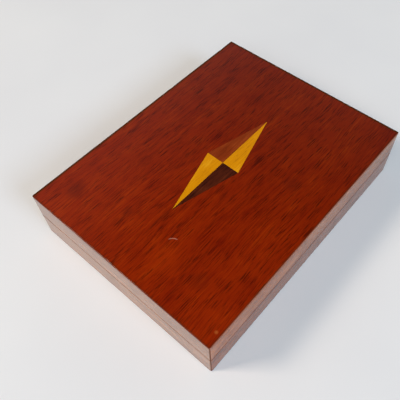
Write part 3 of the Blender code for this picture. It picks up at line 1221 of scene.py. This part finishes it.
def turned(profile: Section, height: float, steps: int = 56, ring: bool = False) -> bmesh.types.BMesh:
    """A shape turned about a line along X.

    Args:
        profile: The profile's points, as place along X and radius.
        height: The height of the line.
        steps: How many sides a turn has.
        ring: Whether the profile closes on itself, round a hole.

    Returns:
        The shape.
    """
    angles = [2 * math.pi * step / steps for step in range(steps)]
    mesh_data = bmesh.new()
    loops = [
        [Vector((x, radius * math.cos(angle), height + radius * math.sin(angle))) for angle in angles]
        for x, radius in profile
    ]
    skin_loops(mesh_data, loops, ring=ring)
    return mesh_data


def block(low: Vector, high: Vector) -> bmesh.types.BMesh:
    """A square-edged block between two corners.

    Args:
        low: The lowest corner.
        high: The highest corner.

    Returns:
        The block.
    """
    mesh_data = bmesh.new()
    bmesh.ops.create_cube(mesh_data, size=1.0)
    size = Matrix.Diagonal((*(high - low), 1.0))
    bmesh.ops.transform(mesh_data, matrix=Matrix.Translation((low + high) / 2) @ size, verts=mesh_data.verts)
    return mesh_data


# ---------------------------------------------------------------------------------------------
# The box


@dataclass(frozen=True)
class Sizes:
    """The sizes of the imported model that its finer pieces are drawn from."""

    half_length: float
    half_width: float
    height: float
    veneer: float
    wall: float
    base_rim: float
    lid_rim: float
    ceiling: float
    base_panel_top: float
    panel_inset: float
    lip_half_length: float
    lip_half_width: float
    lip_thickness: float
    lip_foot: float
    lip_top: float
    pin_line: float

    @classmethod
    def from_frame(cls) -> "Sizes":
        """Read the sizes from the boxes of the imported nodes.

        Returns:
            The sizes.
        """
        face_low, face_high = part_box("lid_veneer")
        wall_low, wall_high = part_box("lid_side_front")
        panel_low, panel_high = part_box("lid_panel")
        front_low, front_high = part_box("lip_front")
        pin_low, pin_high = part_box("lock_pin_right")
        return cls(
            half_length=face_high[0],
            half_width=face_high[1],
            height=face_high[2],
            veneer=face_high[2] - face_low[2],
            wall=wall_high[1] - wall_low[1],
            base_rim=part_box("base_side_front")[1][2],
            lid_rim=wall_low[2],
            ceiling=panel_low[2],
            base_panel_top=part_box("base_panel")[1][2],
            panel_inset=face_high[1] - panel_high[1],
            lip_half_length=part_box("lip_right")[1][0],
            lip_half_width=-front_low[1],
            lip_thickness=front_high[1] - front_low[1],
            lip_foot=front_low[2],
            lip_top=front_high[2],
            pin_line=(pin_low[2] + pin_high[2]) / 2,
        )


@dataclass
class OuterShell:
    """The outside but for its face: eight mitred walls and the veneered underside."""

    sizes: Sizes
    corner_radius: float = CORNER_RADIUS
    mitre_kerf: float = 0.10 * MM
    face_ease: float = FACE_EASE
    seam_ease: float = 0.18 * MM
    inner_ease: float = 0.2 * MM
    pin_bore: float = 2.2 * MM  # radius
    seat_bore: float = 2.7 * MM  # radius
    bore_depth: float = 5.6 * MM
    seat_depth: float = 1.5 * MM
    bore_over: float = 1.0 * MM  # how far the cutter stands out of the bore's mouth
    board_step_mm: float = 140.0  # along the log, from one wall to the next
    underside_offset_mm: float = 900.0

    @property
    def plan(self) -> Plan:
        """The box's own outline."""
        return Plan(self.sizes.half_length, self.sizes.half_width, self.corner_radius)

    def wall_section(self, joint: float, rim: float, panel: float, step: float) -> Section:
        """A wall's section, from the glued edge at its veneer to the eased edge at the seam.

        Args:
            joint: The level where the wall meets its veneer.
            rim: The level of its edge at the seam.
            panel: The level of the rabbet that holds the panel.
            step: How deep the wood is behind the rabbet.

        Returns:
            The section.
        """
        way = 1 if rim > joint else -1
        wall = self.sizes.wall
        return flank(
            [
                (0.0, joint),
                (step, joint),
                (step, panel),
                *arris(self.inner_ease, (wall, panel), (-1, way))[::-1],
                *arris(self.inner_ease, (wall, rim), (-1, -way)),
                *arris(self.seam_ease, (0.0, rim), (1, -way))[::-1],
            ]
        )

    def build_walls(self, half: str, section: Section) -> None:
        """Saw, dress and seat the four walls of one half.

        Args:
            half: The half, which is also its body's name and the start of its nodes' names.
            section: The walls' section.
        """
        boards = MitredFrame(self.plan, section, self.mitre_kerf)
        for order, side in enumerate(Side):
            board = boards.board(side, f"{half}_wall_{side.label}")
            wood = MAHOGANY if half == "lid" else MAHOGANY_DULL
            if side in (Side.LEFT, Side.RIGHT):
                wood = MAHOGANY_END
                if half == "lid":
                    self.bore(board, side)
            finish = wood.material(side.grain, self.board_step_mm * (order + 1))
            seat(board, finish, half, "polished_mahogany", f"{half}_side_{side.label}")

    def bore(self, board: bpy.types.Object, side: Side) -> None:
        """Bore a lid end wall for its pin, with the wider seat for the bush.

        Args:
            board: The wall.
            side: Which end it is on.
        """
        sign = side.outward.x
        mouth = self.sizes.half_length - self.sizes.wall
        profile = [
            (sign * (mouth - self.bore_over), self.seat_bore),
            (sign * (mouth + self.seat_depth), self.seat_bore),
            (sign * (mouth + self.seat_depth), self.pin_bore),
            (sign * (mouth + self.bore_depth), self.pin_bore),
        ]
        cut_with(board, turned(profile, self.sizes.pin_line))

    def build(self) -> None:
        """Build the walls of both halves and the underside's veneer."""
        sizes = self.sizes
        step = sizes.panel_inset - GLUE_LINE
        floor = sizes.base_panel_top + GLUE_LINE
        foot = sizes.veneer + GLUE_LINE
        self.build_walls("base", self.wall_section(foot, sizes.base_rim, floor, step))
        crown = sizes.height - sizes.veneer - GLUE_LINE
        ceiling = sizes.ceiling - GLUE_LINE
        self.build_walls("lid", self.wall_section(crown, sizes.lid_rim, ceiling, step))
        sheet = slab(self.plan, 0.0, sizes.veneer, ease_bottom=self.face_ease)
        under = make_object("base_underside_veneer", sheet)
        finish = MAHOGANY_DULL.material(Grain.ALONG_X, self.underside_offset_mm)
        seat(under, finish, "base", "mahogany_veneer", "base_veneer")


@dataclass
class MarquetryFace:
    """The lid's face: figured veneer let round a lozenge of four right-angled quarters."""

    sizes: Sizes
    corner_radius: float = CORNER_RADIUS
    ease: float = FACE_EASE
    nick_depth: float = 0.18 * MM
    nick_spacing: float = 2.4 * MM
    nick_threshold: float = 0.42  # noise above this is a nick
    nick_gain: float = 2.0  # how fast a nick deepens past the threshold
    point_spacing: float = 0.8 * MM
    lozenge_half_length: float = 28.9 * MM
    lozenge_half_width: float = 7.85 * MM
    cut_over: float = 1.0 * MM  # how far the cutter stands past the veneer

    def wear(self, mesh_data: bmesh.types.BMesh) -> None:
        """Nick the face's arris here and there, as knocks do. Points only move inwards and down.

        Args:
            mesh_data: The veneer.
        """
        sizes = self.sizes
        for vert in mesh_data.verts:
            side = min(sizes.half_length - abs(vert.co.x), sizes.half_width - abs(vert.co.y))
            if side > self.ease * 0.9 or vert.co.z < sizes.height - self.ease * 1.01:
                continue  # off the rounded arris
            bite = noise.noise(vert.co / self.nick_spacing) - self.nick_threshold
            if bite > 0.0:
                outward = Vector((vert.co.x / sizes.half_length, vert.co.y / sizes.half_width, 1.0))
                vert.co -= outward.normalized() * min(bite * self.nick_gain, 1.0) * self.nick_depth

    def build(self) -> None:
        """Build the veneer and the four quarters."""
        sizes = self.sizes
        bottom = sizes.height - sizes.veneer
        plan = Plan(sizes.half_length, sizes.half_width, self.corner_radius, self.point_spacing)
        board = slab(plan, bottom, sizes.height, ease_top=self.ease)
        self.wear(board)
        face = make_object("lid_face_veneer", board)
        half_length, half_width = self.lozenge_half_length, self.lozenge_half_width
        tips = [(half_length, 0.0), (0.0, half_width), (-half_length, 0.0), (0.0, -half_width)]
        levels = (bottom - self.cut_over, sizes.height + self.cut_over)
        window = bmesh.new()
        skin_loops(window, [[Vector((x, y, z)) for x, y in tips] for z in levels])
        cut_with(face, window)
        seat(face, FACE.material(Grain.ALONG_X), "lid", "mahogany_veneer", "lid_veneer")
        self.build_quarter("back_left", -1, 1, SATINWOOD, "satinwood", 60.0)
        self.build_quarter("front_left", -1, -1, WENGE, "wenge", 20.0)
        self.build_quarter("back_right", 1, 1, BROWN_OAK, "brown_oak", 30.0)
        self.build_quarter("front_right", 1, -1, SATINWOOD, "satinwood", 10.0)

    def build_quarter(
        self, place: str, sign_x: int, sign_y: int, wood: Wood, slot: str, offset_mm: float
    ) -> None:
        """Cut one quarter of the lozenge, a glue line clear of its neighbours.

        Args:
            place: Where it lies, as its node's name says.
            sign_x: Its side along the box.
            sign_y: Its side across the box.
            wood: What it is cut from.
            slot: The record's slot of that wood.
            offset_mm: Where along its log it was cut.
        """
        near = GLUE_LINE / 2
        share = 1 - GLUE_LINE * math.hypot(1 / self.lozenge_half_length, 1 / self.lozenge_half_width)
        outline = [
            (near, near),
            (self.lozenge_half_length * (share - near / self.lozenge_half_width), near),
            (near, self.lozenge_half_width * (share - near / self.lozenge_half_length)),
        ]
        levels = (self.sizes.height - self.sizes.veneer, self.sizes.height)
        mesh_data = bmesh.new()
        skin_loops(mesh_data, [[Vector((sign_x * x, sign_y * y, z)) for x, y in outline] for z in levels])
        quarter = make_object(f"inlay_quarter_{place}", mesh_data)
        seat(quarter, wood.material(Grain.ALONG_X, offset_mm), "lid", slot, f"inlay_{place}")


@dataclass
class Interior:
    """The inside: the liner lip, the panels and the felt with its nap."""

    sizes: Sizes
    lip_ease: float = 0.35 * MM
    lead_in: float = 0.7 * MM
    lip_corner: float = 0.15 * MM
    strip_step_mm: float = 70.0  # along the log, from one strip to the next
    notch_over: float = 2.0 * MM  # how far the strike's notch is cut past the strip's faces
    notch_headroom: float = 1.0 * MM
    felt_cell: float = 1.6 * MM
    felt_wave: float = 0.10 * MM
    felt_wave_length: float = 14.0 * MM
    felt_edge_drop: float = 0.25 * MM
    nap_per_mm2: float = 1.6
    nap_length: float = 0.7 * MM
    nap_width: float = 0.07 * MM

    def lip_section(self) -> Section:
        """The liner's section, with a round lead-in outside and an eased arris inside.

        Returns:
            The section.
        """
        sizes = self.sizes
        return flank(
            [
                (0.0, sizes.lip_foot),
                *arris(self.lead_in, (0.0, sizes.lip_top), (1, -1)),
                *arris(self.lip_ease, (sizes.lip_thickness, sizes.lip_top), (-1, -1))[::-1],
                (sizes.lip_thickness, sizes.lip_foot),
            ]
        )

    def build_lip(self) -> None:
        """Saw the four liner strips and notch the end ones for their strikes."""
        sizes = self.sizes
        plan = Plan(sizes.lip_half_length, sizes.lip_half_width, self.lip_corner, corner_steps=4)
        strips = MitredFrame(plan, self.lip_section())
        for order, side in enumerate(Side):
            strip = strips.board(side, f"liner_strip_{side.label}")
            if side in (Side.LEFT, Side.RIGHT):
                low, high = corners_of(f"strike_{side.label}")
                below = Vector((self.notch_over, GLUE_LINE, GLUE_LINE))
                above = Vector((self.notch_over, GLUE_LINE, self.notch_headroom))
                cut_with(strip, block(low - below, high + above))
            finish = CEDAR.material(side.grain, self.strip_step_mm * order)
            seat(strip, finish, "base", "cedar_liner", f"lip_{side.label}")

    def dress_panels(self) -> None:
        """Give the two let-in panels, whose shape is already right, their plywood."""
        for offset_mm, name in ((210.0, "base_panel"), (330.0, "lid_panel")):
            dress(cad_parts[name], BIRCH.material(Grain.ALONG_X, offset_mm))

    def felt_sink(self, place: Vector) -> float:
        """How far the felt's top sinks below its highest level over the uneven glue."""
        return self.felt_wave * (0.5 + 0.5 * noise.noise(place / self.felt_wave_length))

    def felt_mesh(self, low: Vector, high: Vector) -> bmesh.types.BMesh:
        """The felt as a closed grid, with its edge pressed down.

        Args:
            low: The lowest corner.
            high: The highest corner.

        Returns:
            The felt.
        """
        cells_x = round((high.x - low.x) / self.felt_cell)
        cells_y = round((high.y - low.y) / self.felt_cell)
        mesh_data = bmesh.new()
        under, over = [], []
        for rows in (under, over):
            for j in range(cells_y + 1):
                row = []
                for i in range(cells_x + 1):
                    x = low.x + (high.x - low.x) * i / cells_x
                    y = low.y + (high.y - low.y) * j / cells_y
                    on_rim = i in (0, cells_x) or j in (0, cells_y)
                    drop = self.felt_edge_drop if on_rim else 0.0
                    top = high.z - self.felt_sink(Vector((x, y, 0.0))) - drop
                    row.append(mesh_data.verts.new((x, y, top if rows is over else low.z)))
                rows.append(row)
        for j in range(cells_y):
            for i in range(cells_x):
                for rows in (under, over):
                    corners = (rows[j][i], rows[j][i + 1], rows[j + 1][i + 1], rows[j + 1][i])
                    mesh_data.faces.new(corners if rows is over else corners[::-1])
        rim = [(0, i) for i in range(cells_x)] + [(j, cells_x) for j in range(cells_y)]
        rim += [(cells_y, i) for i in range(cells_x, 0, -1)] + [(j, 0) for j in range(cells_y, 0, -1)]
        for (j, i), (next_j, next_i) in zip(rim, rim[1:] + rim[:1]):
            mesh_data.faces.new((under[j][i], under[next_j][next_i], over[next_j][next_i], over[j][i]))
        return mesh_data

    def build_felt(self) -> None:
        """Lay the felt, slightly uneven over its glue, and raise its nap."""
        low, high = corners_of("felt_lining")
        felt = make_object("baize_lining", self.felt_mesh(low, high), sharp_deg=60.0)
        seat(felt, BAIZE.material(), "base", "green_felt", "felt_lining")
        nap = self.raise_nap(felt)
        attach(nap, "base")

    def raise_nap(self, felt: bpy.types.Object) -> bpy.types.Object:
        """Scatter short leaning wool fibres over the felt's top with Geometry Nodes.

        Args:
            felt: The felt, whose faces the fibres stand on.

        Returns:
            The nap, as one plain mesh.
        """
        nap = bpy.data.objects.new("baize_nap", felt.data.copy())
        bpy.context.scene.collection.objects.link(nap)
        tree = nap_tree(BAIZE.material())
        modifier = nap.modifiers.new("nap", "NODES")
        modifier.node_group = tree
        sizes = {
            "Density": self.nap_per_mm2 / MM**2,
            "Fibre Length": self.nap_length,
            "Fibre Width": self.nap_width,
            "Seed": 7,
        }
        for item in tree.interface.items_tree:
            if item.name in sizes:
                modifier[item.identifier] = sizes[item.name]
        settle(nap)
        LOG.info("%s: %d faces", nap.name, len(nap.data.polygons))
        return nap


LEAST_UPWARD = 0.7  # of a face's normal, for fibres to stand on it
FIBRE_LEAN = 1.25  # radians, at most
SHORTEST_FIBRE = 0.45  # share of the longest


def nap_tree(material: bpy.types.Material) -> Tree:
    """The Geometry Nodes tree that stands leaning fibres on the upward faces of a mesh.

    Args:
        material: What the fibres are made of.

    Returns:
        The tree, with inputs for its density, its fibres' length and width, and its seed.
    """
    tree = bpy.data.node_groups.new("wool_nap", "GeometryNodeTree")
    sockets = (
        ("Geometry", "INPUT", "NodeSocketGeometry"),
        ("Density", "INPUT", "NodeSocketFloat"),
        ("Fibre Length", "INPUT", "NodeSocketFloat"),
        ("Fibre Width", "INPUT", "NodeSocketFloat"),
        ("Seed", "INPUT", "NodeSocketInt"),
        ("Geometry", "OUTPUT", "NodeSocketGeometry"),
    )
    for name, direction, kind in sockets:
        tree.interface.new_socket(name, in_out=direction, socket_type=kind)
    given = add_node(tree, "NodeGroupInput").outputs
    normal = add_node(tree, "GeometryNodeInputNormal").outputs["Normal"]
    upward = add_node(tree, "ShaderNodeSeparateXYZ", {"Vector": normal}).outputs["Z"]
    level = {0: upward, 1: LEAST_UPWARD}
    on_top = add_node(tree, "FunctionNodeCompare", level, operation="GREATER_THAN").outputs["Result"]
    points = add_node(
        tree,
        "GeometryNodeDistributePointsOnFaces",
        {"Mesh": given["Geometry"], "Selection": on_top, "Density": given["Density"], "Seed": given["Seed"]},
    )
    fibre = add_node(
        tree,
        "GeometryNodeMeshCone",
        {
            "Vertices": 3,
            "Radius Top": 0.0,
            "Radius Bottom": given["Fibre Width"],
            "Depth": given["Fibre Length"],
        },
        fill_type="NGON",
    )
    lean = add_node(
        tree,
        "FunctionNodeRandomValue",
        {
            0: (-FIBRE_LEAN, -FIBRE_LEAN, 0.0),
            1: (FIBRE_LEAN, FIBRE_LEAN, 2 * math.pi),
            "Seed": given["Seed"],
        },
        data_type="FLOAT_VECTOR",
    ).outputs["Value"]
    size = add_node(
        tree,
        "FunctionNodeRandomValue",
        {2: SHORTEST_FIBRE, 3: 1.0, "Seed": given["Seed"]},
        data_type="FLOAT",
    ).outputs[1]
    standing = add_node(
        tree,
        "GeometryNodeInstanceOnPoints",
        {
            "Points": points.outputs["Points"],
            "Instance": fibre.outputs["Mesh"],
            "Rotation": lean,
            "Scale": size,
        },
    )
    real = add_node(tree, "GeometryNodeRealizeInstances", {"Geometry": standing.outputs["Instances"]})
    dressed = add_node(
        tree, "GeometryNodeSetMaterial", {"Geometry": real.outputs["Geometry"], "Material": material}
    )
    add_node(tree, "NodeGroupOutput", {"Geometry": dressed.outputs["Geometry"]})
    return tree


@dataclass
class SpinLock:
    """The hidden lock: brass strikes in the lip, brass bushes and loose steel pins in the lid's ends."""

    sizes: Sizes
    strike_ease: float = 0.25 * MM
    strike_bore: float = 1.8 * MM  # radius
    countersink: float = 0.4 * MM
    bush_ease: float = 0.15 * MM
    shank: float = 1.2 * MM  # radius
    shank_ease: float = 0.3 * MM
    head_ease: float = 0.25 * MM
    head_length: float = 1.4 * MM
    bush_clearance: float = 0.3 * MM
    tip_flat: float = 0.35 * MM  # radius of the flat at a pin's tip
    tip_steps: int = 5
    cut_over: float = 0.5 * MM  # how far a cutter stands past what it cuts

    def build_strike(self, side: Side) -> None:
        """A brass block with eased edges and a countersunk hole for the pin.

        Args:
            side: Which end it is at.
        """
        low, high = corners_of(f"strike_{side.label}")
        mesh_data = block(low, high)
        edges = mesh_data.edges[:]
        bmesh.ops.bevel(
            mesh_data, geom=edges, offset=self.strike_ease, segments=3, affect="EDGES", profile=0.5
        )
        strike = make_object(f"brass_strike_{side.label}", mesh_data)
        mouth = self.strike_bore + self.countersink + self.cut_over
        profile = [
            (low.x - self.cut_over, mouth),
            (low.x + self.countersink, self.strike_bore),
            (high.x - self.countersink, self.strike_bore),
            (high.x + self.cut_over, mouth),
        ]
        cut_with(strike, turned(profile, self.sizes.pin_line))
        seat(strike, BRASS.material(), "base", "turned_brass", f"strike_{side.label}")

    def build_bush(self, side: Side) -> None:
        """A brass ring with eased rims.

        Args:
            side: Which end it is at.
        """
        low, high = corners_of(f"pin_bush_{side.label}")
        outer = (high.z - low.z) / 2
        inner = self.shank + self.bush_clearance
        ease = self.bush_ease
        profile = [
            (low.x + ease, inner),
            (low.x, inner + ease),
            (low.x, outer - ease),
            (low.x + ease, outer),
            (high.x - ease, outer),
            (high.x, outer - ease),
            (high.x, inner + ease),
            (high.x - ease, inner),
        ]
        bush = make_object(f"brass_bush_{side.label}", turned(profile, self.sizes.pin_line, ring=True))
        seat(bush, BRASS.material(), "lid", "turned_brass", f"pin_bush_{side.label}")

    def build_pin(self, side: Side) -> None:
        """A headed steel pin with a rounded tip and eased head.

        Args:
            side: Which end it is at.
        """
        low, high = corners_of(f"lock_pin_{side.label}")
        tip = min(abs(low.x), abs(high.x))
        end = max(abs(low.x), abs(high.x))
        head = (high.z - low.z) / 2
        neck = end - self.head_length
        profile: Section = [(tip, self.tip_flat)]
        for step in range(1, self.tip_steps + 1):
            turn = math.radians(90 * step / self.tip_steps)
            back = self.shank_ease * (1 - math.cos(turn))
            profile.append((tip + back, self.shank - self.shank_ease * (1 - math.sin(turn))))
        profile += [(neck, self.shank), (neck, head - self.head_ease)]
        profile += [(neck + self.head_ease, head), (end - self.head_ease, head), (end, head - self.head_ease)]
        outline = [(side.outward.x * x, radius) for x, radius in profile]
        pin = make_object(f"steel_pin_{side.label}", turned(outline, self.sizes.pin_line))
        seat(pin, STEEL.material(), f"pin_{side.label}", "bright_steel", f"lock_pin_{side.label}")

    def build(self) -> None:
        """Build the lock at both ends."""
        for side in (Side.LEFT, Side.RIGHT):
            self.build_strike(side)
            self.build_bush(side)
            self.build_pin(side)


# ---------------------------------------------------------------------------------------------
# The studio


@dataclass(frozen=True)
class SoftBox:
    """One soft studio light, aimed at the middle of the box's underside."""

    name: str
    azimuth_deg: float  # from +X towards +Y
    elevation_deg: float
    distance: float
    size: float
    power: float
    colour: str

    def hang(self, target: Vector) -> None:
        """Hang the light and aim it.

        Args:
            target: What it points at.
        """
        data = bpy.data.lights.new(self.name, "AREA")
        data.shape = "SQUARE"
        data.size = self.size
        data.energy = self.power
        data.color = linear(self.colour)[:3]
        azimuth = math.radians(self.azimuth_deg)
        elevation = math.radians(self.elevation_deg)
        level = Vector((math.cos(azimuth), math.sin(azimuth), 0.0)) * math.cos(elevation)
        offset = level + Vector((0.0, 0.0, math.sin(elevation)))
        lamp = bpy.data.objects.new(self.name, data)
        lamp.location = target + offset * self.distance
        lamp.rotation_euler = (-offset).to_track_quat("-Z", "Y").to_euler()
        bpy.context.scene.collection.objects.link(lamp)


@dataclass(frozen=True)
class Studio:
    """The table, the lights, the room's faint glow and the camera."""

    eye: tuple[float, float, float] = (-0.09368, -0.08109, 0.18186)
    target: tuple[float, float, float] = (-0.00475, -0.00186, 0.00999)
    roll_deg: float = -1.155
    focal_mm: float = 45.4
    shift_x: float = -0.0473
    shift_y: float = -0.0142
    sensor_mm: float = 36.0
    table_half: float = 3.0
    table_clouds: float = 9.0  # to the metre
    table_tones: tuple[str, str] = ("#e6e6e6", "#ebebea")
    table_band: Pair = (0.3, 0.7)  # of the clouds, from one tone to the other
    room_tone: str = "#f4f6fa"
    ceiling_band: Pair = (0.45, 0.88)  # of a direction's Z, from the walls' glow to the ceiling's
    ceiling_glow: Pair = (0.30, 0.005)
    back_band: Pair = (0.40, 0.64)  # of its Y
    back_glow: Pair = (0.0, 0.12)
    lamps: tuple[SoftBox, ...] = (
        SoftBox("window_left", 139.0, 42.8, 1.8, 0.45, 15.8, "#ffecda"),
        SoftBox("window_front", -94.0, 37.1, 1.8, 0.50, 11.5, "#c9e0ff"),
        SoftBox("overhead_behind", -148.0, 50.0, 3.4, 2.2, 61.0, "#f7feff"),
    )

    def lay_table(self) -> None:
        """A matt pale laminate table, faintly uneven in tone."""
        mesh_data = bmesh.new()
        half = self.table_half
        corners = ((-half, -half), (half, -half), (half, half), (-half, half))
        mesh_data.faces.new([mesh_data.verts.new((x, y, 0.0)) for x, y in corners])
        table = make_object("table", mesh_data)
        material, tree = new_material("matt_pale_laminate")
        coords = add_node(tree, "ShaderNodeTexCoord").outputs["Object"]
        soft = {"Vector": coords, "Scale": self.table_clouds, "Detail": 3.0}
        clouds = add_node(tree, "ShaderNodeTexNoise", soft).outputs["Fac"]
        share = remap(tree, clouds, self.table_band)
        colour = tint(tree, share, linear(self.table_tones[0]), linear(self.table_tones[1]))
        close_surface(tree, {"Base Color": colour, "Roughness": 0.7, "Specular IOR Level": 0.2})
        dress(table, material)

    def fill_room(self) -> None:
        """A dim room, brighter towards its walls than its ceiling and brightest behind the box."""
        world = bpy.data.worlds.new("room")
        world.use_nodes = True
        tree = world.node_tree
        tree.nodes.clear()
        outward = add_node(tree, "ShaderNodeTexCoord").outputs["Generated"]
        way = add_node(tree, "ShaderNodeSeparateXYZ", {"Vector": outward}).outputs
        low_glow = remap(tree, way["Z"], self.ceiling_band, self.ceiling_glow)
        glow = combine(tree, "ADD", low_glow, remap(tree, way["Y"], self.back_band, self.back_glow))
        sky = add_node(tree, "ShaderNodeBackground", {"Color": linear(self.room_tone), "Strength": glow})
        add_node(tree, "ShaderNodeOutputWorld", {"Surface": sky.outputs["Background"]})
        bpy.context.scene.world = world

    def place_camera(self) -> None:
        """Set the camera close over the near corner, looking down along the lozenge."""
        data = bpy.data.cameras.new("camera")
        data.sensor_width = self.sensor_mm
        data.lens = self.focal_mm
        data.shift_x = self.shift_x
        data.shift_y = self.shift_y
        data.clip_start = 0.01
        camera = bpy.data.objects.new("camera", data)
        eye = Vector(self.eye)
        gaze = (Vector(self.target) - eye).to_track_quat("-Z", "Y").to_matrix().to_4x4()
        turn = Matrix.Rotation(math.radians(self.roll_deg), 4, "Z")
        camera.matrix_world = Matrix.Translation(eye) @ gaze @ turn
        bpy.context.scene.collection.objects.link(camera)
        bpy.context.scene.camera = camera

    def build(self) -> None:
        """Set up the whole studio."""
        self.place_camera()
        self.lay_table()
        self.fill_room()
        for lamp in self.lamps:
            lamp.hang(Vector())
        bpy.context.scene.view_settings.view_transform = "Standard"


def main() -> None:
    """Build the studio and every part of the box."""
    logging.basicConfig(level=logging.INFO, format="%(name)s: %(message)s")
    Studio().build()
    sizes = Sizes.from_frame()
    OuterShell(sizes).build()
    MarquetryFace(sizes).build()
    interior = Interior(sizes)
    interior.build_lip()
    interior.dress_panels()
    interior.build_felt()
    SpinLock(sizes).build()


if __name__ == "__main__":
    main()
